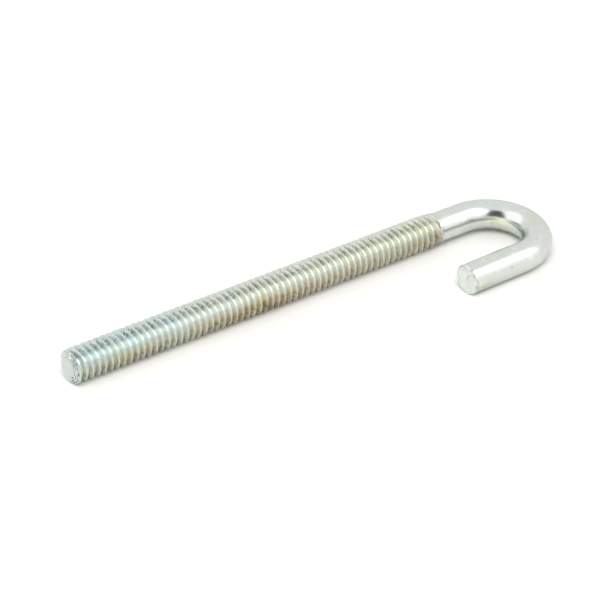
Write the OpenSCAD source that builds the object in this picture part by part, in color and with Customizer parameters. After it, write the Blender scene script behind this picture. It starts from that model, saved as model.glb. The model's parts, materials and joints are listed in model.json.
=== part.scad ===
// Hook bolt (J bolt): one length of round steel wire with a rolled thread on its shank
// and a round hook bent at the other end.
// It lies as it comes to rest: the shank along X with its thread crests on z = 0, and the
// hook's leg on z = 0 beside it. The origin is the middle of the part's footprint.

/* [Thread] */
// Diameter over the thread crests
thread_d = 6.28; // [5.8:0.02:9]
// Distance from the tip to the end of the thread run-out
thread_l = 78.5; // [30:0.5:200]
// Length over which the crests sink to the plain wire
runout_l = 3.2; // [0.5:0.1:10]

/* [Tip] */
// Diameter of the flat end face at the tip
tip_face_d = 5.0; // [2:0.1:5.4]
// Length of the bevel from the end face to the crests
tip_bevel_l = 0.7; // [0.2:0.1:4]

/* [Hook] */
// Diameter of the plain wire, which is the blank that the thread is rolled on
wire_d = 5.5; // [3:0.1:5.8]
// Straight plain length between the thread and the bend
plain_l = 5.65; // [1:0.05:60]
// Inside radius of the bend
bend_inner_r = 5.6; // [2:0.1:40]
// Angle that the wire is bent through
bend_angle = 179; // [90:1:200]
// How much bending draws in the wire's radius round the bend
bend_draw = 0.02; // [0.01:0.01:0.3]
// Straight length of the leg past the bend
leg_l = 12.75; // [3:0.25:80]
// Radius that shearing rolled onto the rim of the leg's end
leg_rim_r = 0.3; // [0.1:0.05:1.2]

/* [Hidden] */
$fn = 96;

thread_r = thread_d / 2;
wire_r = wire_d / 2;
bend_r = bend_inner_r + wire_r;

// Length by which the drawn-in bend runs on into the straight wire at each of its ends
bend_seat = 0.1;
seat_angle = 360 * bend_seat / (2 * PI * bend_r);

// Distance from the tip to the start of the bend, and to the outside of the bend
bend_x = thread_l + plain_l;
overall_l = bend_x + bend_r + wire_r - bend_draw;

// How far the wire's centre line gets from the shank's axis, at the end of the leg or, where
// the hook is closed past a half turn, on the bend
leg_end_reach = bend_r * (1 - cos(bend_angle)) + leg_l * sin(bend_angle);
reach = bend_angle > 180 ? 2 * bend_r : leg_end_reach;

// The wire is thinner than the thread, so the hook leans over until its leg touches down
lean_angle = asin((thread_r - wire_r) / reach);

// Middle of the footprint, measured from the tip and from the shank's axis
middle_x = overall_l / 2;
middle_y = (thread_r - reach * cos(lean_angle) - wire_r) / 2;

// Half section of the shank: end face, bevel, crests, run-out and plain wire
shank_section = [
    [0, 0],
    [tip_face_d / 2, 0],
    [thread_r, tip_bevel_l],
    [thread_r, thread_l - runout_l],
    [wire_r, thread_l],
    [wire_r, bend_x],
    [0, bend_x]
];

// Turns a half section about the X axis, with the section's own axis along +X
module turned_along_x() {
    rotate([0, 90, 0])
        rotate_extrude()
            children();
}

// Straight shank from the tip to the start of the bend
module shank() {
    turned_along_x()
        polygon(shank_section);
}

// Round bend that starts along +X and curls towards -Y
module bend() {
    translate([bend_x, -bend_r, 0])
        rotate([0, 0, 90 - bend_angle - seat_angle])
            rotate_extrude(angle = bend_angle + 2 * seat_angle)
                translate([bend_r, 0])
                    circle(r = wire_r - bend_draw);
}

// Half section of the leg, with the rolled rim at its end
module leg_section() {
    square([wire_r, leg_l - leg_rim_r]);
    square([wire_r - leg_rim_r, leg_l]);
    translate([wire_r - leg_rim_r, leg_l - leg_rim_r])
        intersection() {
            circle(r = leg_rim_r);
            square(leg_rim_r);
        }
}

// Leg that runs on from the end of the bend, back towards the tip
module leg() {
    translate([bend_x, -bend_r, 0])
        rotate([0, 0, -bend_angle])
            translate([0, bend_r, 0])
                turned_along_x()
                    leg_section();
}

module j_bolt() {
    color("#c3c9c8")
        translate([-middle_x, -middle_y, thread_r]) {
            shank();
            rotate([lean_angle, 0, 0]) {
                bend();
                leg();
            }
        }
}

j_bolt();
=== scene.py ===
"""Studio scene of a zinc-plated J bolt: a rolled thread, a round hook and a sheared leg end.

All sizes are in millimetres until a mesh, a lamp or the camera is placed, which is in metres.
"""
import json
import logging
import math
from dataclasses import dataclass
from enum import Enum
from typing import Any

import bpy
import numpy as np
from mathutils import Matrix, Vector


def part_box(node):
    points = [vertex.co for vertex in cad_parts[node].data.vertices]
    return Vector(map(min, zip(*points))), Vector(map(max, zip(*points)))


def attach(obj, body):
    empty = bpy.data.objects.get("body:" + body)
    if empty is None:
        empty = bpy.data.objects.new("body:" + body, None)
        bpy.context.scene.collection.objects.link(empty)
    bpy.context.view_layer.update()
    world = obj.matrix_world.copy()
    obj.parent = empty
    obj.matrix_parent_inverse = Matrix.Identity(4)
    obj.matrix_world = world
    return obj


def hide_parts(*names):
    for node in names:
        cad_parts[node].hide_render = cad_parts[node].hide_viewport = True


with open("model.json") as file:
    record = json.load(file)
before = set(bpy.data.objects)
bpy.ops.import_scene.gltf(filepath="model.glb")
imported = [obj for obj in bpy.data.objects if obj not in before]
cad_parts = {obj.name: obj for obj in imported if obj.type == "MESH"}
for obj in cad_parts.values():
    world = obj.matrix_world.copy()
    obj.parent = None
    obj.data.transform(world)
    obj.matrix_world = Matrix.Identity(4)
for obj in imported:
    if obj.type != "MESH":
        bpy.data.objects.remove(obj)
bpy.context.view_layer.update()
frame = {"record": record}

METRES = 0.001
IMAGE_SIDE = 600

# Seeded waves: how many, their pace as a share of the mean, and the most turns of one round the wire
WAVE_COUNT = 12
WAVE_SPREAD = (0.6, 1.7)
WAVE_TURNS = 4

Pair = tuple[float, float]
Socket = bpy.types.NodeSocket
Tree = bpy.types.NodeTree

log = logging.getLogger("j_bolt")


class Hand(Enum):
    """Which way a thread climbs as it leaves the tip."""

    RIGHT = 1
    LEFT = -1


class Mark(Enum):
    """Names of the values that the skin carries at each of its points for the finish to read."""

    STRAIGHT = "straight_wire"
    FILM = "chromate_film"
    STAIN = "yellow_stain"
    SOIL_AND_SHADE = "soil_and_painted_shade"
    ROLLED = "rolled_skin"


def linear_colour(code: str) -> tuple[float, float, float, float]:
    """Turns an sRGB hex colour into linear light.

    Args:
        code: Six hex digits after a hash sign.

    Returns:
        Linear red, green and blue, and an opaque alpha.
    """
    shares = np.array([int(code[i : i + 2], 16) for i in (1, 3, 5)]) / 255.0
    light = np.where(shares <= 0.04045, shares / 12.92, ((shares + 0.055) / 1.055) ** 2.4)
    return (*light.tolist(), 1.0)


def mix(low: Any, high: Any, share: Any) -> Any:
    """Straight mix of two values, which is low at share 0 and high at share 1."""
    return low + (high - low) * share


def soft_hinge(value: np.ndarray, round_off: float) -> np.ndarray:
    """Hinge that is 0 before 0, has slope 1 after it and is a parabola within round_off of it."""
    near = np.clip(value + round_off, 0.0, 2 * round_off)
    return near**2 / (4 * round_off) + np.maximum(value - round_off, 0.0)


def soft_ramp(value: np.ndarray, round_off: float) -> np.ndarray:
    """Straight ramp from 0 to 1 with rounded corners: a hinge at 0 less a hinge at 1."""
    return soft_hinge(value, round_off) - soft_hinge(value - 1, round_off)


def smooth_step(value: np.ndarray, low: float, high: float) -> np.ndarray:
    """Cubic that rises from 0 at low to 1 at high with level ends."""
    share = np.clip((value - low) / (high - low), 0.0, 1.0)
    return share * share * (3.0 - 2.0 * share)


def bell(value: np.ndarray, middle: float, half_width: float) -> np.ndarray:
    """Bell curve of height 1 that is down to about a third at half_width from its middle."""
    return np.exp(-(((value - middle) / half_width) ** 2))


def facing(angle: np.ndarray, side: float, spread: Pair) -> np.ndarray:
    """How far a point faces one side of the wire: a step over the cosine of the angle between them."""
    return smooth_step(np.cos(angle - side), *spread)


def waviness(along: np.ndarray, angle: np.ndarray, wave: float, seed: int) -> np.ndarray:
    """Seeded waves over the skin of the wire, between 0 and 1.

    Sines run along the wire and round it with random lengths near one wavelength and random phases.
    Twice their mean is added to a half, and what passes 0 or 1 is cut off.

    Args:
        along: Distance from the tip.
        angle: Angle round the wire, in radians.
        wave: Typical wavelength along the wire.
        seed: Seed of the random lengths and phases.

    Returns:
        Height of the waves at each point.
    """
    draw = np.random.default_rng(seed)
    speed = 2 * np.pi / wave * draw.uniform(*WAVE_SPREAD, WAVE_COUNT) * draw.choice([-1, 1], WAVE_COUNT)
    turns = draw.integers(-WAVE_TURNS, WAVE_TURNS + 1, WAVE_COUNT)
    phase = draw.uniform(0, 2 * np.pi, WAVE_COUNT)
    total = np.zeros_like(along)
    for k in range(WAVE_COUNT):
        total += np.sin(speed[k] * along + turns[k] * angle + phase[k])
    return np.clip(0.5 + total / (0.5 * WAVE_COUNT), 0.0, 1.0)


@dataclass
class RolledThread:
    """Coarse thread that dies roll onto the wire, pushing metal out of the grooves into the crests."""

    crest_r: float
    blank_r: float
    pitch: float = 1.27
    depth: float = 0.75
    crest_flat: float = 0.125
    flank_share: float = 0.341
    rounding: float = 0.1
    phase: float = 1.23
    hand: Hand = Hand.RIGHT
    lead_in: Pair = (0.42, 0.95)
    fade_out: Pair = (76.5, 77.95)
    sink: Pair = (75.2, 78.6)
    sink_share: float = 0.75
    collar_edge: Pair = (77.98, 78.1)
    wear: float = 0.03
    wear_wave: float = 2.3
    wear_seed: int = 3

    def rows(self) -> np.ndarray:
        """Places of the mesh's rows within one pitch.

        Returns:
            Shares of the pitch: a crest, a root and both ends of each rounded corner between them.
        """
        corners = np.array([self.crest_flat / 2, self.crest_flat / 2 + self.flank_share])
        reach = self.rounding * self.flank_share
        half = (corners[:, None] + np.array([-reach, reach])).ravel()
        return np.concatenate((-half[::-1], [0.0], half, [0.5]))

    def groove(self, along: np.ndarray, angle: np.ndarray) -> np.ndarray:
        """Depth of the groove, 0 on a crest and 1 in a root.

        The place within a pitch is the distance along the axis, less the lead of the helix at that
        angle. Its distance from the nearest crest gives a flat crest, a straight flank and a round
        root. The dies close in past the tip and open again before the collar.

        Args:
            along: Distance from the tip.
            angle: Angle round the axis, in radians.

        Returns:
            Share of the full depth.
        """
        turns = (along - self.phase) / self.pitch - self.hand.value * angle / (2 * np.pi)
        away = np.abs(turns - np.round(turns))
        formed = smooth_step(along, *self.lead_in) - smooth_step(along, *self.fade_out)
        return formed * soft_ramp((away - self.crest_flat / 2) / self.flank_share, self.rounding)

    def rolled(self, along: np.ndarray) -> np.ndarray:
        """How far the skin is rolled: 1 as far as the collar, and 0 past its edge."""
        return 1 - smooth_step(along, *self.collar_edge)

    def envelope(self, along: np.ndarray) -> np.ndarray:
        """Radius over the crests: level, then sinking into a collar that steps down to the wire."""
        rise = (self.crest_r - self.blank_r) * (1 - self.sink_share * smooth_step(along, *self.sink))
        return self.blank_r + rise * self.rolled(along)

    def radius(self, along: np.ndarray, angle: np.ndarray) -> np.ndarray:
        """Radius of the threaded wire: the crests, a little worn, less the groove."""
        worn = self.wear * waviness(along, angle, self.wear_wave, self.wear_seed) * self.rolled(along)
        return self.envelope(along) - worn - self.depth * self.groove(along, angle)


@dataclass
class TurnedTip:
    """End of the thread: a flat face whose rounded rim the rolling dies have left in ridges."""

    flat_r: float = 1.75
    rim_l: float = 0.75
    face_rings: int = 22
    rim_rings: int = 52
    ridge_radii: tuple[float, ...] = (1.87, 2.3, 2.68, 2.93)
    ridge_depth: float = 0.1
    ridge_half_width: float = 0.09
    scratch: tuple[Pair, Pair] = ((0.53, 1.81), (-0.51, 1.09))
    scratch_depth: float = 0.03
    scratch_half_width: float = 0.06
    scratch_fade: float = 0.6
    face_film: float = 0.12
    rim_film: float = 0.02
    # Dirt and painted shade in the grooves between the ridges: on most of the rim, and on the darker side.
    rim_soil_and_shade: Pair = (0.6, 2.6)
    darker_side: float = math.radians(165.0)
    darker_spread: Pair = (-0.4, 0.4)

    def rim_radius(self, along: np.ndarray, crest_r: float) -> np.ndarray:
        """Radius of the rounded rim: a quarter of an ellipse from the flat face to the crests."""
        share = np.clip(1 - along / self.rim_l, 0.0, 1.0)
        return self.flat_r + (crest_r - self.flat_r) * np.sqrt(1 - share**2)

    def rings(self, crest_r: float, end: float) -> tuple[np.ndarray, np.ndarray]:
        """Rings of the face from its middle, and of the ridged rim up to where the thread starts.

        The rim is an ellipse, and each ridge sinks it along its slope by a bell curve over the radius.

        Args:
            crest_r: Radius over the thread crests.
            end: Distance from the tip to the last ring.

        Returns:
            Distance from the tip and radius of each ring, the first of which is the middle point.
        """
        flat = np.linspace(0.0, self.flat_r, self.face_rings)
        turn = np.linspace(0.0, math.acos(1 - end / self.rim_l), self.rim_rings + 1)[1:]
        along = self.rim_l * (1 - np.cos(turn))
        radius = self.flat_r + (crest_r - self.flat_r) * np.sin(turn)
        sunk = self.ridge_depth * self.ridges(radius)
        along = np.concatenate((0 * flat, along + sunk * np.cos(turn)))
        return along, np.concatenate((flat, radius - sunk * np.sin(turn)))

    def ridges(self, radius: np.ndarray) -> np.ndarray:
        """How far the rim is sunk between its ridges, from 0 to 1."""
        return sum(bell(radius, middle, self.ridge_half_width) for middle in self.ridge_radii)

    def film(self, radius: np.ndarray) -> np.ndarray:
        """Film on the tip: a clear coat on the face, and next to none on the scraped ridges."""
        rim = smooth_step(radius, self.flat_r - self.ridge_half_width, self.flat_r)
        return mix(self.face_film, self.rim_film, rim)

    def soil_and_shade(self, radius: np.ndarray, angle: np.ndarray) -> np.ndarray:
        """Dirt and painted shade in the grooves between the ridges, most of it on one side."""
        side = facing(angle, self.darker_side, self.darker_spread)
        return mix(*self.rim_soil_and_shade, side) * self.ridges(radius)

    def relief(self, radius: np.ndarray, angle: np.ndarray) -> np.ndarray:
        """Depth of the scratch across the face: a bell curve over the distance from its line.

        Args:
            radius: Distance from the axis.
            angle: Angle round the axis, in radians.

        Returns:
            How far each point of the face is sunk.
        """
        place = np.stack((radius * np.cos(angle), radius * np.sin(angle)), axis=-1)
        start = np.array(self.scratch[0])
        line = np.array(self.scratch[1]) - start
        share = np.clip((place - start) @ line / (line @ line), 0.0, 1.0)
        away = np.linalg.norm(place - start - share[:, None] * line, axis=1)
        depth = self.scratch_depth * (1 - self.scratch_fade * share)
        return depth * bell(away, 0.0, self.scratch_half_width)


@dataclass
class ShearedEnd:
    """End of the leg, cropped by a shear: a rolled rim, and a torn facet that sits a little lower."""

    rim_r: float = 0.3
    rim_rings: int = 7
    face_rings: int = 30
    facet_middle: Pair = (1.55, -0.1)
    facet_r: float = 1.6
    facet_depth: float = 0.24
    facet_edge: float = 0.14
    facet_fade: Pair = (-1.9, 1.0)
    nick_angles: tuple[float, ...] = (1.17, 6.2)
    nick_depth: float = 0.1
    nick_half_width: float = 0.09
    nick_start_share: float = 0.75
    crack_half_width: float = 0.09
    crack_fade: Pair = (-0.1, 0.7)
    # Dirt and painted shade along the crack, in the nicks and on one side of the rim.
    crack_soil_and_shade: float = 1.2
    rim_soil_and_shade: float = 0.45
    rim_soil_and_shade_width: float = 0.45
    rim_soil_and_shade_side: float = math.radians(-25.0)
    rim_soil_and_shade_spread: Pair = (0.5, 0.9)
    ragged: float = 0.05
    ragged_wave: float = 0.9
    ragged_seed: int = 5
    film: float = 0.03

    def rings(self, wire_r: float) -> tuple[np.ndarray, np.ndarray]:
        """Rings of the rolled rim and of the face, in to its middle.

        Args:
            wire_r: Radius of the wire.

        Returns:
            How far each ring lies short of the end, and its radius. The last is the middle point.
        """
        turn = np.linspace(0.0, np.pi / 2, self.rim_rings)
        rim_short = self.rim_r * (1 - np.sin(turn))
        rim_radius = wire_r - self.rim_r * (1 - np.cos(turn))
        flat = np.linspace(wire_r - self.rim_r, 0.0, self.face_rings + 1)[1:]
        return np.concatenate((rim_short, 0 * flat)), np.concatenate((rim_radius, flat))

    def relief(self, radius: np.ndarray, angle: np.ndarray, wire_r: float) -> np.ndarray:
        """Depth of the torn facet, which has a round upper edge, of the ragged rim and of its nicks.

        Args:
            radius: Distance from the wire's centre line.
            angle: Angle round the centre line, in radians.
            wire_r: Radius of the wire.

        Returns:
            How far each point of the end is sunk.
        """
        inside = self.inside_facet(radius, angle)
        fade = smooth_step(radius * np.sin(angle), *self.facet_fade)
        sunk = self.facet_depth * fade * smooth_step(inside, 0.0, self.facet_edge)
        edge = smooth_step(radius, wire_r - self.rim_r, wire_r)
        sunk = sunk + self.ragged * edge * waviness(radius, angle, self.ragged_wave, self.ragged_seed)
        return sunk + self.nick_depth * self.nicks(radius, angle, wire_r)

    def inside_facet(self, radius: np.ndarray, angle: np.ndarray) -> np.ndarray:
        """How far a point lies inside the facet: its radius less the distance from its middle."""
        out, up = radius * np.cos(angle), radius * np.sin(angle)
        return self.facet_r - np.hypot(out - self.facet_middle[0], up - self.facet_middle[1])

    def nicks(self, radius: np.ndarray, angle: np.ndarray, wire_r: float) -> np.ndarray:
        """Share of the nicks' depth: bell curves round the rim that run out towards the middle."""
        cut = sum(bell(angle, middle, self.nick_half_width) for middle in self.nick_angles)
        return cut * smooth_step(radius, self.nick_start_share * wire_r, wire_r)

    def soil_and_shade(self, radius: np.ndarray, angle: np.ndarray, wire_r: float) -> np.ndarray:
        """Dirt and painted shade on the end: along the facet's edge, in the nicks and on one side of the
        rim.

        Args:
            radius: Distance from the wire's centre line.
            angle: Angle round the centre line, in radians.
            wire_r: Radius of the wire.

        Returns:
            Share of dirt and painted shade at each point.
        """
        upper = smooth_step(radius * np.sin(angle), *self.crack_fade)
        crack = upper * bell(self.inside_facet(radius, angle), 0.0, self.crack_half_width)
        edge = smooth_step(radius, wire_r - self.rim_soil_and_shade_width, wire_r)
        rim = edge * facing(angle, self.rim_soil_and_shade_side, self.rim_soil_and_shade_spread)
        return self.crack_soil_and_shade * (crack + self.nicks(radius, angle, wire_r)) + self.rim_soil_and_shade * rim


@dataclass
class BentWire:
    """Centre line of the wire: shank, round bend and short leg, leaning until the leg touches down."""

    thread_r: float
    wire_r: float = 2.75
    shank_l: float = 84.15
    bend_inner_r: float = 5.6
    bend_angle: float = math.radians(179.0)
    bend_draw: float = 0.02
    leg_l: float = 12.75

    @property
    def bend_r(self) -> float:
        """Radius of the centre line round the bend."""
        return self.bend_inner_r + self.wire_r

    @property
    def leg_start(self) -> float:
        """Distance along the wire from the tip to the end of the bend."""
        return self.shank_l + self.bend_r * self.bend_angle

    @property
    def length(self) -> float:
        """Length of the wire along its centre line."""
        return self.leg_start + self.leg_l

    @property
    def lean(self) -> float:
        """Angle that the hook leans over, since the wire is thinner than the thread."""
        reach = self.bend_r * (1 - math.cos(self.bend_angle)) + self.leg_l * math.sin(self.bend_angle)
        return math.asin((self.thread_r - self.wire_r) / reach)

    def draw_in(self, along: np.ndarray) -> np.ndarray:
        """How much thinner the wire is round the bend, eased in and out over a wire radius.

        Args:
            along: Distance along the centre line from the tip.

        Returns:
            What the radius loses at each point.
        """
        into = smooth_step(along, self.shank_l, self.shank_l + self.wire_r)
        out = smooth_step(along, self.leg_start - self.wire_r, self.leg_start)
        return self.bend_draw * (into - out)

    def place(self, along: np.ndarray, radius: np.ndarray, angle: np.ndarray) -> np.ndarray:
        """Carries points of the straightened wire onto the bent one.

        A point keeps its distance along the centre line. The centre line is a straight line, an arc
        and a straight line, and the point stands off it by radius, at angle from the outer side of
        the bend towards the top. The whole then leans about the shank's axis.

        Args:
            along: Distance along the centre line from the tip.
            radius: Distance from the centre line.
            angle: Angle round the centre line, in radians.

        Returns:
            One row of x, y and z for each point, with the tip's middle at zero.
        """
        turn = np.clip((along - self.shank_l) / self.bend_r, 0.0, self.bend_angle)
        leg = np.maximum(along - self.leg_start, 0.0)
        out = radius * np.cos(angle)
        up = radius * np.sin(angle)
        x = np.minimum(along, self.shank_l) + self.bend_r * np.sin(turn)
        x = x + leg * math.cos(self.bend_angle) + out * np.sin(turn)
        y = -self.bend_r * (1 - np.cos(turn)) - leg * math.sin(self.bend_angle) + out * np.cos(turn)
        lean_cos = math.cos(self.lean)
        lean_sin = math.sin(self.lean)
        return np.stack((x, y * lean_cos - up * lean_sin, y * lean_sin + up * lean_cos), axis=-1)


@dataclass(frozen=True)
class Spot:
    """Soft-edged patch on the wire: its place, its half length, its half angle and its strength."""

    along: float
    degrees: float
    half_length: float
    half_degrees: float
    strength: float

    def cover(self, along: np.ndarray, angle: np.ndarray) -> np.ndarray:
        """Strength at each point: a bell curve along the wire times one over the shorter way round it.

        Args:
            along: Distance from the tip.
            angle: Angle round the wire, in radians.

        Returns:
            What the spot adds at each point.
        """
        away = np.degrees(np.abs(np.angle(np.exp(1j * (angle - math.radians(self.degrees))))))
        lengthwise = bell(along, self.along, self.half_length)
        return self.strength * lengthwise * bell(away, 0.0, self.half_degrees)


def spotted(spots: tuple[Spot, ...], along: np.ndarray, angle: np.ndarray) -> np.ndarray:
    """Sum of what the spots add at each point."""
    return sum(spot.cover(along, angle) for spot in spots)


@dataclass(frozen=True)
class ChromateFilm:
    """Thickness of the chromate dip: thin on the hook, and thick where it ran down and pooled.

    The bolt drained with one side down, so that side of the thread holds most of it. Each pool there
    is a place along the wire, a half length and what it adds. Thread and hook have a few spots.
    """

    drip_side: float = math.radians(215.0)
    drip_spread: Pair = (0.52, 0.81)
    top_film: Pair = (0.15, 0.35)
    top_climb: Pair = (-5.0, 46.0)
    low_film: float = 0.6
    low_pools: tuple[tuple[float, float, float], ...] = (
        (0.0, 1.2, -0.3),
        (4.0, 5.0, -0.22),
        (20.0, 4.0, -0.2),
        (39.0, 8.0, 0.22),
        (76.8, 1.0, 0.25),
    )
    thread_end: Pair = (77.9, 78.15)
    wire_film: float = 0.08
    # The first spot thickens the film. The second thins it, so the inside of the bend is paler: painted
    # light for a brighter reflection there.
    film_spots_and_painted_light: tuple[Spot, ...] = (
        Spot(87.5, 172.0, 1.3, 12.0, 0.1),
        Spot(93.5, 172.0, 8.0, 15.0, -0.09),
    )
    yellow_spots: tuple[Spot, ...] = (
        Spot(9.0, 178.0, 0.7, 20.0, 0.8),
        Spot(37.8, 160.0, 1.2, 30.0, 0.5),
        Spot(66.0, 133.0, 11.0, 24.0, 0.25),
        Spot(91.6, 180.0, 2.5, 17.0, 0.9),
        Spot(120.4, 57.0, 1.6, 12.0, 0.4),
        Spot(121.4, 355.0, 2.2, 30.0, 0.4),
        Spot(98.0, 63.0, 1.5, 12.0, 0.4),
        Spot(100.5, 100.0, 2.5, 25.0, 0.4),
        Spot(116.0, 75.0, 2.5, 12.0, 0.3),
    )

    def thickness(self, along: np.ndarray, angle: np.ndarray) -> np.ndarray:
        """Thickness from 0, bare plate, to 1, a brown stain.

        The thread's upper side climbs slowly from the tip. Its lower side is level plus its pools, and
        the two are mixed by how far a point faces the drip side. The plain wire is level plus its
        spots.

        Args:
            along: Distance from the tip.
            angle: Angle round the wire, in radians.

        Returns:
            Thickness at each point.
        """
        upper = mix(*self.top_film, smooth_step(along, *self.top_climb))
        pools = sum(rise * bell(along, middle, half) for middle, half, rise in self.low_pools)
        drip = facing(angle, self.drip_side, self.drip_spread)
        thread = mix(upper, self.low_film + pools, drip)
        wire = self.wire_film + spotted(self.film_spots_and_painted_light, along, angle)
        return mix(thread, wire, smooth_step(along, *self.thread_end))

    def stain(self, along: np.ndarray, angle: np.ndarray) -> np.ndarray:
        """Strength of the yellow stains where the dip dried on the thread and the hook."""
        return spotted(self.yellow_spots, along, angle)


@dataclass(frozen=True)
class SoilAndPaintedShade:
    """Dark dirt and painted shade on the thread, most of it in the roots on top, with painted shade
    under the thread and along the hook's underside.

    A pair of shares is for the flanks and for the roots, and the patches have one for the lightest
    turns and one for the darkest.
    """

    top_shares: Pair = (0.16, 0.82)
    low_shares: Pair = (0.04, 0.2)
    under_share: float = 0.45
    under_side: float = math.radians(215.0)
    under_spread: Pair = (0.72, 0.98)
    top_side: float = math.radians(90.0)
    top_spread: Pair = (0.8, 0.96)
    roots: Pair = (0.35, 0.95)
    patch_wave: float = 6.5
    patch_seed: int = 11
    patch_shares: Pair = (0.75, 1.25)
    # Dark marks on the hook: the two broad ones are painted shade under the bend and under the leg, and
    # the three small ones are marks on the plate.
    smears_and_painted_shade: tuple[Spot, ...] = (
        Spot(120.0, 340.0, 4.0, 14.0, 0.45),
        Spot(90.5, 222.0, 5.0, 17.0, 1.1),
        Spot(90.3, 184.0, 0.25, 5.0, 1.0),
        Spot(120.6, 50.0, 0.4, 7.0, 0.45),
        Spot(114.7, 18.0, 0.4, 7.0, 0.45),
    )

    def cover(self, along: np.ndarray, angle: np.ndarray, groove: np.ndarray) -> np.ndarray:
        """Share of dirt and painted shade: specks on the flanks, more in the roots and on the upper side,
        and painted shade underneath.

        All of the thread's share is scaled by seeded waves, so that some turns are darker than others.

        Args:
            along: Distance from the tip.
            angle: Angle round the wire, in radians.
            groove: Depth of the groove, 0 where there is no thread.

        Returns:
            Share at each point.
        """
        top = facing(angle, self.top_side, self.top_spread)
        flank, root = (mix(low, high, top) for low, high in zip(self.low_shares, self.top_shares))
        # Painted shade: the thread's underside, which faces the floor, is made darker.
        under = self.under_share * facing(angle, self.under_side, self.under_spread)
        patchy = mix(*self.patch_shares, waviness(along, angle, self.patch_wave, self.patch_seed))
        # The roots are darker still: dirt, and painted shade in the hollows.
        thread = patchy * (under + mix(flank, root, smooth_step(groove, *self.roots)))
        return spotted(self.smears_and_painted_shade, along, angle) + thread * (groove > 0)


def empty_tree(owner: bpy.types.Material | bpy.types.World) -> Tree:
    """Gives a material or a world a tree with no nodes in it.

    Args:
        owner: What gets the tree.

    Returns:
        The tree.
    """
    owner.use_nodes = True
    owner.node_tree.nodes.clear()
    return owner.node_tree


def add_node(tree: Tree, kind: str, settings: dict[str, Any], **links: Any) -> bpy.types.Node:
    """Adds one node, sets it up and wires it.

    Args:
        tree: Tree that gets the node.
        kind: Type name of the node.
        settings: Values by name: a property of the node, or else one of its input sockets.
        links: Output sockets to wire in, by input name with underscores for spaces, or by
            an underscore and the input's number.

    Returns:
        The new node.
    """
    node = tree.nodes.new(kind)
    for name, value in settings.items():
        if hasattr(node, name):
            setattr(node, name, value)
        else:
            node.inputs[int(name) if name.isdigit() else name].default_value = value
    for name, source in links.items():
        key = name.replace("_", " ")
        socket = node.inputs[int(key[1:])] if key[1:].isdigit() else node.inputs[key]
        tree.links.new(source, socket)
    return node


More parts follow.
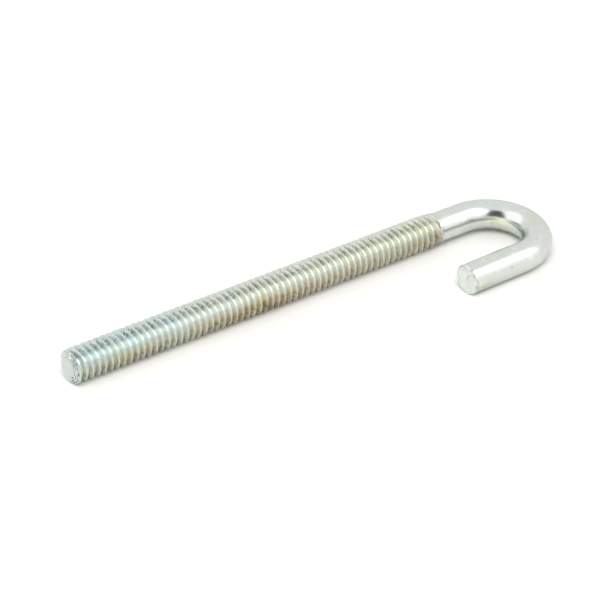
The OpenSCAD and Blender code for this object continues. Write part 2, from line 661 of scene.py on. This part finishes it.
@dataclass(frozen=True)
class BrightZincPlate:
    """Electroplated zinc with a thin chromate dip, on drawn and rolled steel wire.

    The plate is a pale, faintly green metal with a satin gloss. Fine draw lines run along the plain
    wire, the rolled thread is a little streaky, the chromate dries from clear through blue and yellow
    to tan, and the grooves hold dark dirt and painted shade.
    """

    film_colours: tuple[tuple[float, str], ...] = (
        (0.0, "#e5eeea"),
        (0.07, "#d6d9d4"),
        (0.16, "#cddbd8"),
        (0.3, "#d5dad3"),
        (0.45, "#d6d8c8"),
        (0.6, "#d5d1c0"),
        (0.8, "#cabfa8"),
        (1.0, "#a89d86"),
    )
    film_change: float = 0.25
    thick_change: float = 1.1
    thin_change: float = 0.13
    blotch_size: float = 1.6
    blotch_detail: float = 3.0
    blotch_roughness: float = 0.62
    blotch_range: Pair = (0.25, 0.75)
    stain: str = "#fafbd8"
    # Colour that dirt and painted shade darken the plate towards.
    soil_and_shade: str = "#6c6c62"
    soil_and_shade_edge: Pair = (0.38, 0.66)
    edge_tint: str = "#e8eae8"
    gloss: float = 0.23
    thread_gloss: float = 0.08
    film_gloss: float = 0.1
    soil_and_shade_gloss: float = 0.05
    draw_line_width: float = 0.2
    draw_line_length: float = 9.0
    draw_line_height: float = 0.0025
    draw_line_detail: float = 2.0
    draw_line_roughness: float = 0.5
    streak_width: float = 0.25
    streak_length: float = 0.5
    streak_height: float = 0.08
    streak_detail: float = 3.0
    streak_roughness: float = 0.7

    def material(self) -> bpy.types.Material:
        """Builds the finish from the values that the skin carries.

        Returns:
            The material.
        """
        made = bpy.data.materials.new("bright_zinc_plate_on_drawn_steel")
        tree = empty_tree(made)
        marks: dict[Mark, Any] = {}
        for mark in Mark:
            marks[mark] = add_node(tree, "ShaderNodeAttribute", {"attribute_name": mark.value}).outputs
        straight = marks[Mark.STRAIGHT]["Vector"]
        rolled = marks[Mark.ROLLED]["Fac"]
        streaks = self.streaks(tree, straight)
        film = self.film(tree, straight, marks[Mark.FILM]["Fac"])
        # Dirt and painted shade, which darken the colour and dull the gloss.
        soil_and_shade = self.speckled_soil_and_shade(tree, streaks, marks[Mark.SOIL_AND_SHADE]["Fac"])
        shader = add_node(
            tree,
            "ShaderNodeBsdfPrincipled",
            {"Metallic": 1.0, "Specular Tint": linear_colour(self.edge_tint)},
            Base_Color=self.colour(tree, film, marks[Mark.STAIN]["Fac"], soil_and_shade),
            Roughness=self.roughness(tree, film, soil_and_shade, rolled),
            Normal=self.relief(tree, straight, streaks, rolled),
        )
        add_node(tree, "ShaderNodeOutputMaterial", {}, Surface=shader.outputs["BSDF"])
        return made

    def film(self, tree: Tree, straight: Socket, film: Socket) -> Socket:
        """Breaks the film up into blotches, a little thicker and thinner than its mean.

        Args:
            tree: Tree that gets the nodes.
            straight: Place on the straightened wire.
            film: Mean thickness of the film.

        Returns:
            Socket with the thickness.
        """
        grain = {"Detail": self.blotch_detail, "Roughness": self.blotch_roughness}
        noise = {"Scale": 1 / self.blotch_size, **grain}
        blotch = add_node(tree, "ShaderNodeTexNoise", noise, Vector=straight)
        low, high = self.blotch_range
        span = {"From Min": low, "From Max": high, "To Min": -self.film_change, "To Max": self.film_change}
        shift = add_node(tree, "ShaderNodeMapRange", span, Value=blotch.outputs[0]).outputs[0]
        change = {"operation": "MULTIPLY_ADD", "1": self.thick_change, "2": self.thin_change}
        share = add_node(tree, "ShaderNodeMath", change, _0=film).outputs[0]
        total = {"operation": "MULTIPLY_ADD"}
        return add_node(tree, "ShaderNodeMath", total, _0=shift, _1=share, _2=film).outputs[0]

    def speckled_soil_and_shade(self, tree: Tree, streaks: Socket, soil_and_shade: Socket) -> Socket:
        """Breaks the dirt and painted shade up into short streaks.

        Args:
            tree: Tree that gets the nodes.
            streaks: Height of the streaks round the wire.
            soil_and_shade: Mean share of dirt and painted shade.

        Returns:
            Socket with the share.
        """
        low, high = self.soil_and_shade_edge
        speck = add_node(tree, "ShaderNodeMapRange", {"From Min": low, "From Max": high}, Value=streaks)
        clamped = {"operation": "MULTIPLY", "use_clamp": True}
        return add_node(tree, "ShaderNodeMath", clamped, _0=speck.outputs[0], _1=soil_and_shade).outputs[0]

    def colour(self, tree: Tree, film: Socket, stain: Socket, soil_and_shade: Socket) -> Socket:
        """Colour of the plate through its film, tinted by the stains and darkened by dirt and painted
        shade.

        Args:
            tree: Tree that gets the nodes.
            film: Thickness of the film.
            stain: Strength of the stain.
            soil_and_shade: Share of dirt and painted shade.

        Returns:
            Socket with the colour.
        """
        ramp = add_node(tree, "ShaderNodeValToRGB", {}, Fac=film)
        stops = ramp.color_ramp.elements
        for k in (0, -1):
            stops[k].position = self.film_colours[k][0]
            stops[k].color = linear_colour(self.film_colours[k][1])
        for place, code in self.film_colours[1:-1]:
            stops.new(place).color = linear_colour(code)
        colour = ramp.outputs["Color"]
        for share, code in ((stain, self.stain), (soil_and_shade, self.soil_and_shade)):
            tint = {"data_type": "RGBA", "blend_type": "MULTIPLY", "7": linear_colour(code)}
            colour = add_node(tree, "ShaderNodeMix", tint, _0=share, _6=colour).outputs[2]
        return colour

    def roughness(self, tree: Tree, film: Socket, soil_and_shade: Socket, rolled: Socket) -> Socket:
        """Gloss of the plate: bright on the drawn wire, duller where it is rolled, stained, dirty or
        shaded.

        Args:
            tree: Tree that gets the nodes.
            film: Thickness of the film.
            soil_and_shade: Share of dirt and painted shade.
            rolled: How far the skin is rolled or cut, and not drawn.

        Returns:
            Socket with the roughness.
        """
        plate = {"operation": "MULTIPLY_ADD", "1": self.thread_gloss, "2": self.gloss}
        level = add_node(tree, "ShaderNodeMath", plate, _0=rolled).outputs[0]
        for source, gain in ((film, self.film_gloss), (soil_and_shade, self.soil_and_shade_gloss)):
            duller = {"operation": "MULTIPLY_ADD", "1": gain}
            level = add_node(tree, "ShaderNodeMath", duller, _0=source, _2=level).outputs[0]
        return level

    def relief(self, tree: Tree, straight: Socket, streaks: Socket, rolled: Socket) -> Socket:
        """Fine relief: draw lines along the plain wire, and streaks round what was rolled or cut.

        Real draw lines are a few hundredths of a millimetre wide. They are drawn coarser to show.

        Args:
            tree: Tree that gets the nodes.
            straight: Place on the straightened wire.
            streaks: Height of the streaks round the wire.
            rolled: How far the skin is rolled or cut, and not drawn.

        Returns:
            Socket with the normal.
        """
        grain = {"Detail": self.draw_line_detail, "Roughness": self.draw_line_roughness}
        lines = self.stretched(tree, straight, (self.draw_line_width, self.draw_line_length), grain)
        height = {"Strength": 1.0, "Distance": self.draw_line_height * METRES}
        drawn = add_node(tree, "ShaderNodeBump", height, Height=lines)
        height = {"Distance": self.streak_height * METRES}
        links = {"Strength": rolled, "Height": streaks, "Normal": drawn.outputs[0]}
        return add_node(tree, "ShaderNodeBump", height, **links).outputs[0]

    def streaks(self, tree: Tree, straight: Socket) -> Socket:
        """Short streaks round the wire, which the dies drag along the grooves."""
        grain = {"Detail": self.streak_detail, "Roughness": self.streak_roughness}
        return self.stretched(tree, straight, (self.streak_length, self.streak_width), grain)

    def stretched(self, tree: Tree, straight: Socket, size: Pair, grain: dict[str, float]) -> Socket:
        """Noise that is stretched round the wire or along it.

        Args:
            tree: Tree that gets the nodes.
            straight: Place on the straightened wire.
            size: Size of the noise round the wire and along it.
            grain: Detail and roughness of the noise.

        Returns:
            Socket with the height of the noise.
        """
        around, along = size
        scale = {"Scale": (1 / around, 1 / around, 1 / along)}
        place = add_node(tree, "ShaderNodeMapping", scale, Vector=straight).outputs[0]
        return add_node(tree, "ShaderNodeTexNoise", {"Scale": 1.0, **grain}, Vector=place).outputs[0]


def add_object(name: str, data: bpy.types.ID) -> bpy.types.Object:
    """Makes an object at the origin and links it into the scene.

    Args:
        name: Name of the object.
        data: Mesh, lamp or camera that the object shows.

    Returns:
        The object.
    """
    made = bpy.data.objects.new(name, data)
    bpy.context.scene.collection.objects.link(made)
    return made


@dataclass
class Lattice:
    """Points of the straightened wire, and the faces between them by the numbers of their corners."""

    along: np.ndarray
    radius: np.ndarray
    angle: np.ndarray
    quads: np.ndarray


def faces_round(ids: np.ndarray, seam: np.ndarray) -> np.ndarray:
    """Faces of a lattice that closes up round the wire.

    Each face joins two neighbours of one line to the two below them.

    Args:
        ids: Numbers of the points, with one line for each ring or row.
        seam: Numbers of the points that follow the last column.

    Returns:
        The numbers of the four corners of each face.
    """
    grid = np.hstack((ids, seam[:, None]))
    corners = (grid[:-1, :-1], grid[:-1, 1:], grid[1:, 1:], grid[1:, :-1])
    return np.stack(corners, axis=-1).reshape(-1, 4)


@dataclass
class HookBolt:
    """The whole bolt as one skin: end face, thread, plain wire, hook and cropped leg."""

    wire: BentWire
    thread: RolledThread
    tip: TurnedTip
    end: ShearedEnd
    origin: tuple[float, float, float]
    film: ChromateFilm = ChromateFilm()
    soil_and_shade: SoilAndPaintedShade = SoilAndPaintedShade()
    finish: BrightZincPlate = BrightZincPlate()
    name: str = "zinc_j_bolt"
    around: int = 112
    ring_step: float = 0.34
    collar_step: float = 0.04
    collar_margin: float = 0.15
    spare_turns: int = 2
    skin_gap: float = 0.012
    normal_step: float = 0.001

    def hook_rings(self) -> tuple[np.ndarray, np.ndarray]:
        """Rings from the end of the helix over the collar, the wire, the bend, the leg and its end.

        Returns:
            Distance along the wire and radius of each ring. The last is the middle of the leg's end.
        """
        smooth = self.thread.collar_edge[1] + self.collar_margin
        leg_end = self.wire.length - self.end.rim_r
        collar = np.arange(self.thread.fade_out[1], smooth, self.collar_step)
        steps = math.ceil((leg_end - smooth) / self.ring_step)
        body = np.concatenate((collar, np.linspace(smooth, leg_end, steps + 1)[:-1]))
        body_radius = self.thread.radius(body, 0 * body) - self.wire.draw_in(body)
        short, end_radius = self.end.rings(self.wire.wire_r)
        along = np.concatenate((body, self.wire.length - short))
        return along, np.concatenate((body_radius, end_radius))

    def helix_rows(self, first: float, last: float) -> np.ndarray:
        """Distance along the axis of each row of the thread at each angle.

        The rows follow the helix, so that one row runs along each crest and each root: a point's
        distance is its row's place, plus one pitch for each turn.

        Args:
            first: Distance from the tip that the rows have to reach back to.
            last: Distance that they have to reach on to.

        Returns:
            One line for each row, and one column for each angle.
        """
        pitch = self.thread.pitch
        turns = math.ceil((last - first) / pitch) + self.spare_turns + 1
        start = self.thread.phase - self.spare_turns * pitch
        row = start + pitch * (np.arange(turns)[:, None] + self.thread.rows()[None, :]).ravel()
        return row[:, None] + pitch * np.arange(self.around)[None, :] / self.around

    def lattice(self) -> Lattice:
        """Lattice of the skin, before it is bent.

        The caps, the collar, the plain wire and the leg are rings, and the thread between them is rows
        along the helix. Rows that would run past the ring on either side stop on it, and the faces
        that this closes up are dropped when the mesh is made. The first ring of the tip and the last
        of the leg's end are one point each.

        Returns:
            The lattice. The radius of a point on the thread is left infinite.
        """
        count = self.around
        turn = 2 * np.pi * np.arange(count) / count
        first = self.thread.lead_in[0]
        last = self.thread.fade_out[1]
        tip_along, tip_radius = self.tip.rings(self.thread.crest_r, first)
        hook_along, hook_radius = self.hook_rings()
        body_along = self.helix_rows(first, last)

        tip_ids = 1 + np.arange((len(tip_along) - 1) * count).reshape(-1, count)
        tip_ids = np.vstack((np.zeros((1, count), int), tip_ids))
        hook_ids = tip_ids[-1, -1] + 1 + np.arange((len(hook_along) - 1) * count).reshape(-1, count)
        end_id = int(hook_ids[-1, -1]) + 1
        hook_ids = np.vstack((hook_ids, np.full((1, count), end_id)))
        inside = (body_along > first) & (body_along < last)
        body_ids = end_id + np.cumsum(inside.ravel()).reshape(inside.shape)
        body_ids = np.where(body_along <= first, tip_ids[-1], body_ids)
        body_ids = np.where(body_along >= last, hook_ids[0], body_ids)
        rows = len(self.thread.rows())
        body_seam = np.concatenate((body_ids[rows:, 0], np.full(rows, hook_ids[0, 0])))
        closed = ((tip_ids, tip_ids[:, 0]), (body_ids, body_seam), (hook_ids, hook_ids[:, 0]))

        def points(tip: np.ndarray, hook: np.ndarray, body: np.ndarray) -> np.ndarray:
            """Puts the values of the rings and the rows in the order of the points' numbers.

            Args:
                tip: Values on the rings of the tip.
                hook: Values on the rings of the hook.
                body: Values on the rows of the thread.

            Returns:
                One value for each point.
            """
            tip = np.broadcast_to(tip, tip_ids.shape)
            hook = np.broadcast_to(hook, hook_ids.shape)
            rings = (tip[0, :1], tip[1:].ravel(), hook[:-1].ravel(), hook[-1, :1])
            return np.concatenate((*rings, np.broadcast_to(body, inside.shape)[inside]))

        along = points(tip_along[:, None], hook_along[:, None], body_along)
        radius = points(tip_radius[:, None], hook_radius[:, None], np.array(np.inf))
        quads = np.vstack([faces_round(ids, seam) for ids, seam in closed])
        return Lattice(along, radius, points(turn, turn, turn), quads)

    def caps(self, skin: Lattice) -> tuple[np.ndarray, np.ndarray]:
        """Which points lie on the face and rim of the tip, and which on the sheared end of the leg."""
        on_tip = (skin.along < self.thread.lead_in[0]) & np.isfinite(skin.radius)
        return on_tip, skin.along > self.wire.length - self.end.rim_r

    def shape(self, skin: Lattice) -> tuple[np.ndarray, np.ndarray]:
        """Finished distance along and radius of each point.

        A point of the thread lies on the thread or on the rim of the tip, whichever is lower. The two
        end faces are sunk by their relief, and the whole skin keeps a hair inside the solid's box.

        Args:
            skin: Lattice of the skin.

        Returns:
            Distance along and radius.
        """
        threaded = self.thread.radius(skin.along, skin.angle)
        rim = self.tip.rim_radius(skin.along, self.thread.crest_r)
        thread = np.minimum(threaded, threaded - self.thread.crest_r + rim)
        radius = np.where(np.isinf(skin.radius), thread, skin.radius)
        on_tip, on_end = self.caps(skin)
        along = skin.along + on_tip * (self.skin_gap + self.tip.relief(radius, skin.angle))
        along = along - on_end * self.end.relief(radius, skin.angle, self.wire.wire_r)
        return along, np.maximum(radius - self.skin_gap, 0.0)

    def normals(self, mesh: bpy.types.Mesh, skin: Lattice) -> np.ndarray:
        """Normals of the skin, which on the thread keep each flank flat right up to its corners.

        The thread's normal is the cross product of a short step round the wire and one along it, on
        the formula of the thread. All other points keep the normal of the mesh.

        Args:
            mesh: Mesh of the skin.
            skin: Lattice of the skin.

        Returns:
            One unit vector for each point.
        """
        normals = np.empty(len(skin.along) * 3)
        mesh.vertex_normals.foreach_get("vector", normals)
        normals = normals.reshape(-1, 3)
        on_thread = np.isinf(skin.radius)

        def stepped(along: float, angle: float) -> np.ndarray:
            """Points of the thread, moved along and round the wire."""
            moved = Lattice(skin.along + along, skin.radius, skin.angle + angle, skin.quads)
            return self.wire.place(*self.shape(moved), moved.angle)[on_thread]

        step = self.normal_step
        round_step = stepped(0.0, step) - stepped(0.0, -step)
        along_step = stepped(step, 0.0) - stepped(-step, 0.0)
        across = np.cross(round_step, along_step)
        normals[on_thread] = across / np.linalg.norm(across, axis=1)[:, None]
        return normals

    def marks(self, skin: Lattice, radius: np.ndarray) -> dict[Mark, np.ndarray]:
        """Values that the finish reads at each point.

        Args:
            skin: Lattice of the skin.
            radius: Finished radius of each point.

        Returns:
            Place on the straightened wire, film, stain, dirt and painted shade, and how far the skin is
            rolled.
        """
        on_tip, on_end = self.caps(skin)
        flat = np.where(on_tip | on_end, radius, self.wire.wire_r)
        place = np.stack((flat * np.cos(skin.angle), flat * np.sin(skin.angle), skin.along), axis=-1)
        groove = self.thread.groove(skin.along, skin.angle)
        # Dirt and painted shade, from the thread and the hook, the tip's ridges and the sheared end.
        soil_and_shade = self.soil_and_shade.cover(skin.along, skin.angle, groove)
        soil_and_shade = np.where(on_tip, self.tip.soil_and_shade(radius, skin.angle), soil_and_shade)
        film = np.where(on_tip, self.tip.film(radius), self.film.thickness(skin.along, skin.angle))
        return {
            Mark.STRAIGHT: place,
            Mark.FILM: np.where(on_end, self.end.film, film),
            Mark.STAIN: np.where(on_end, 0.0, self.film.stain(skin.along, skin.angle)),
            Mark.SOIL_AND_SHADE: np.where(on_end, self.end.soil_and_shade(radius, skin.angle, self.wire.wire_r), soil_and_shade),
            Mark.ROLLED: np.maximum(self.thread.rolled(skin.along), on_end),
        }

    def build(self) -> bpy.types.Object:
        """Makes the mesh and its values, and links the piece into the scene.

        Returns:
            The finished piece.
        """
        skin = self.lattice()
        along, radius = self.shape(skin)
        points = (self.wire.place(along, radius, skin.angle) + np.array(self.origin)) * METRES

        # A face with one side closed up is a triangle, and one with more of them is dropped
        repeat = skin.quads == np.roll(skin.quads, -1, axis=1)
        doubles = repeat.sum(axis=1)
        whole = skin.quads[doubles == 0]
        single = doubles == 1
        corners = skin.quads[single][~repeat[single]].reshape(-1, 3)

        mesh = bpy.data.meshes.new(self.name)
        mesh.from_pydata(points.tolist(), [], whole.tolist() + corners.tolist())
        mesh.update()
        mesh.polygons.foreach_set("use_smooth", np.ones(len(mesh.polygons), bool))
        mesh.normals_split_custom_set_from_vertices(self.normals(mesh, skin))
        for mark, values in self.marks(skin, radius).items():
            kind, key = ("FLOAT_VECTOR", "vector") if values.ndim == 2 else ("FLOAT", "value")
            carried = mesh.attributes.new(mark.value, kind, "POINT")
            carried.data.foreach_set(key, values.astype(np.float32).ravel())
        mesh.materials.append(self.finish.material())
        return add_object(self.name, mesh)


def add_panel(name: str, size: Pair, top_share: float, material: bpy.types.Material) -> bpy.types.Object:
    """Makes a flat panel about the origin, which is level and faces up until it is posed.

    Args:
        name: Name of the panel.
        size: Width of its foot, and its height.
        top_share: Width of its top, as a share of its foot.
        material: What the panel is made of.

    Returns:
        The panel.
    """
    half = np.array([*size, 0.0]) / 2 * METRES
    corners = np.array([[-1, -1, 0], [1, -1, 0], [top_share, 1, 0], [-top_share, 1, 0]]) * half
    mesh = bpy.data.meshes.new(name)
    mesh.from_pydata(corners.tolist(), [], [(0, 1, 2, 3)])
    mesh.materials.append(material)
    return add_object(name, mesh)


@dataclass
class StudioFloor:
    """White paper that the bolt lies on, which keeps the bolt's shadow."""

    side: float = 3000.0
    paper: str = "#f7f6f3"

    def build(self) -> bpy.types.Object:
        """Makes the table.

        Returns:
            The table.
        """
        table = add_panel("studio_table", (self.side, self.side), 1.0, self.material())
        return table

    def material(self) -> bpy.types.Material:
        """White paper sweep: matt, so that it shows no glint and only the bolt's soft shadow.

        Returns:
            The material.
        """
        made = bpy.data.materials.new("white_paper_sweep")
        tree = empty_tree(made)
        matt = add_node(tree, "ShaderNodeBsdfDiffuse", {"Color": linear_colour(self.paper)})
        add_node(tree, "ShaderNodeOutputMaterial", {}, Surface=matt.outputs[0])
        return made


def direction(azimuth: float, elevation: float) -> Vector:
    """Direction from the bolt to a viewer.

    Args:
        azimuth: Degrees round the bolt, from 0 in front of it towards +X.
        elevation: Degrees above the paper.

    Returns:
        Unit vector.
    """
    turn = math.radians(azimuth)
    rise = math.radians(elevation)
    return Vector((math.sin(turn) * math.cos(rise), -math.cos(turn) * math.cos(rise), math.sin(rise)))


@dataclass(frozen=True)
class Aim:
    """Place of a studio panel, seen from the bolt: its direction in degrees, distance and size."""

    azimuth: float
    elevation: float
    distance: float
    width: float
    height: float

    def pose(self, item: bpy.types.Object) -> None:
        """Stands the item at its place and turns its back from the bolt.

        Args:
            item: Lamp or panel.
        """
        back = direction(self.azimuth, self.elevation)
        item.location = back * self.distance * METRES
        item.rotation_euler = back.to_track_quat("Z", "Y").to_euler()


@dataclass(frozen=True)
class SoftBox:
    """Lamp behind a rectangular diffuser, aimed at the bolt.

    It can be flagged off the paper, so that only the metal shows it, or off the metal.
    """

    name: str
    aim: Aim
    radiance: float
    on_paper: bool = True
    in_metal: bool = True

    def build(self) -> bpy.types.Object:
        """Makes the lamp. Its power is pi times its area times the radiance of its diffuser.

        Returns:
            The lamp.
        """
        lamp = bpy.data.lights.new(self.name, "AREA")
        lamp.shape = "RECTANGLE"
        lamp.size = self.aim.width * METRES
        lamp.size_y = self.aim.height * METRES
        lamp.energy = math.pi * lamp.size * lamp.size_y * self.radiance
        made = add_object(self.name, lamp)
        made.visible_camera = False
        made.visible_diffuse = self.on_paper
        made.visible_glossy = self.in_metal
        self.aim.pose(made)
        return made


@dataclass(frozen=True)
class CameraHood:
    """Grey cloth round the camera, between the two softboxes, made as a dim glowing panel. Only the metal
    mirrors it.
    """

    aim: Aim
    top_share: float = 0.45
    glow_colours: tuple[str, str] = ("#080a06", "#60625d")
    fold: float = 110.0
    fold_detail: float = 1.0

    def build(self) -> bpy.types.Object:
        """Makes the cloth, which is narrower at its top, and poses it.

        Returns:
            The cloth.
        """
        hood = add_panel("camera_hood", (self.aim.width, self.aim.height), self.top_share, self.material())
        hood.visible_camera = False
        hood.visible_diffuse = False
        hood.visible_shadow = False
        self.aim.pose(hood)
        return hood

    def material(self) -> bpy.types.Material:
        """Dim glowing grey felt with painted shade of soft folds, which the metal shows as a dark patch
        that isn't quite even.

        Returns:
            The material.
        """
        made = bpy.data.materials.new("glowing_grey_felt")
        tree = empty_tree(made)
        made.cycles.emission_sampling = "NONE"
        place = add_node(tree, "ShaderNodeTexCoord", {}).outputs["Object"]
        noise = {"Scale": 1 / (self.fold * METRES), "Detail": self.fold_detail}
        # Painted shade of the folds: noise between a dark and a light glow.
        fold_shade = add_node(tree, "ShaderNodeTexNoise", noise, Vector=place)
        dark, light = (linear_colour(code) for code in self.glow_colours)
        shade = {"data_type": "RGBA", "6": dark, "7": light}
        colour = add_node(tree, "ShaderNodeMix", shade, _0=fold_shade.outputs[0])
        # The felt glows at a set level instead of being lit: painted light.
        felt_glow = add_node(tree, "ShaderNodeEmission", {}, Color=colour.outputs[2])
        add_node(tree, "ShaderNodeOutputMaterial", {}, Surface=felt_glow.outputs[0])
        return made


@dataclass
class StudioCamera:
    """Camera where the photographer stood."""

    azimuth: float = -36.475
    elevation: float = 31.389
    distance: float = 473.826
    target: tuple[float, float, float] = (-3.856, 2.739, 3.138)
    focal_pixels: float = 2746.45
    sensor: float = 36.0
    clip_start: float = 10.0

    def build(self) -> bpy.types.Object:
        """Places the camera and makes it the scene's own.

        Returns:
            The camera.
        """
        lens = bpy.data.cameras.new("studio_camera")
        lens.sensor_fit = "HORIZONTAL"
        lens.sensor_width = self.sensor
        lens.lens = self.focal_pixels * self.sensor / IMAGE_SIDE
        lens.clip_start = self.clip_start * METRES
        camera = add_object("studio_camera", lens)
        back = direction(self.azimuth, self.elevation)
        camera.location = (Vector(self.target) + back * self.distance) * METRES
        camera.rotation_euler = back.to_track_quat("Z", "Y").to_euler()
        bpy.context.scene.camera = camera
        return camera


@dataclass
class StudioRoom:
    """White surroundings with a softbox on either side of the camera, and one over the paper.

    The right softbox is brighter towards its middle, so it is three panes, one in front of another.
    """

    white: str = "#ffffff"
    walls: float = 1.0
    ambient: float = 0.65
    boxes: tuple[SoftBox, ...] = (
        SoftBox("right_softbox", Aim(28.0, 34.0, 940.0, 1340.0, 1200.0), 0.2),
        SoftBox("right_softbox_middle", Aim(28.0, 42.0, 920.0, 1165.0, 650.0), 0.4, on_paper=False),
        SoftBox("right_softbox_core", Aim(25.0, 48.5, 900.0, 940.0, 460.0), 2.0, on_paper=False),
        SoftBox("left_softbox", Aim(-122.0, 40.0, 900.0, 1050.0, 900.0), 0.48),
        SoftBox("paper_softbox", Aim(-36.0, 58.0, 1000.0, 600.0, 600.0), 5.1, in_metal=False),
    )
    hood: CameraHood = CameraHood(Aim(-54.0, 38.0, 700.0, 900.0, 640.0))

    def build(self) -> None:
        """Makes the surroundings, which light the paper less than they show, the lamps and the hood."""
        world = bpy.data.worlds.new("white_studio")
        tree = empty_tree(world)
        world.cycles.sampling_method = "NONE"
        path = add_node(tree, "ShaderNodeLightPath", {})
        span = {"To Min": self.walls, "To Max": self.ambient}
        level = add_node(tree, "ShaderNodeMapRange", span, Value=path.outputs["Is Diffuse Ray"])
        colour = {"Color": linear_colour(self.white)}
        light = add_node(tree, "ShaderNodeBackground", colour, Strength=level.outputs[0])
        add_node(tree, "ShaderNodeOutputWorld", {}, Surface=light.outputs[0])
        bpy.context.scene.world = world
        for box in self.boxes:
            box.build()
        self.hood.build()


def main() -> None:
    """Builds the studio and the bolt, and logs the bolt's number of faces."""
    logging.basicConfig(level=logging.INFO, format="%(name)s: %(message)s")
    bpy.context.scene.view_settings.view_transform = "Standard"

    shank = next(m for m in frame["record"]["mounts"] if m["kind"] == "pin")
    crest_r = shank["dims"]["r_mm"]
    tip_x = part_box("j_bolt")[0].x / METRES
    axis_y = shank["pos_m"][1] / METRES
    axis_z = shank["pos_m"][2] / METRES

    wire = BentWire(thread_r=crest_r)
    thread = RolledThread(crest_r=crest_r, blank_r=wire.wire_r)
    bolt = HookBolt(wire, thread, TurnedTip(), ShearedEnd(), (tip_x, axis_y, axis_z))
    piece = bolt.build()
    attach(piece, "root")
    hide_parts("j_bolt")
    log.info("%s: %d faces", piece.name, len(piece.data.polygons))

    StudioFloor().build()
    StudioRoom().build()
    StudioCamera().build()
    log.info("studio built")


if __name__ == "__main__":
    main()
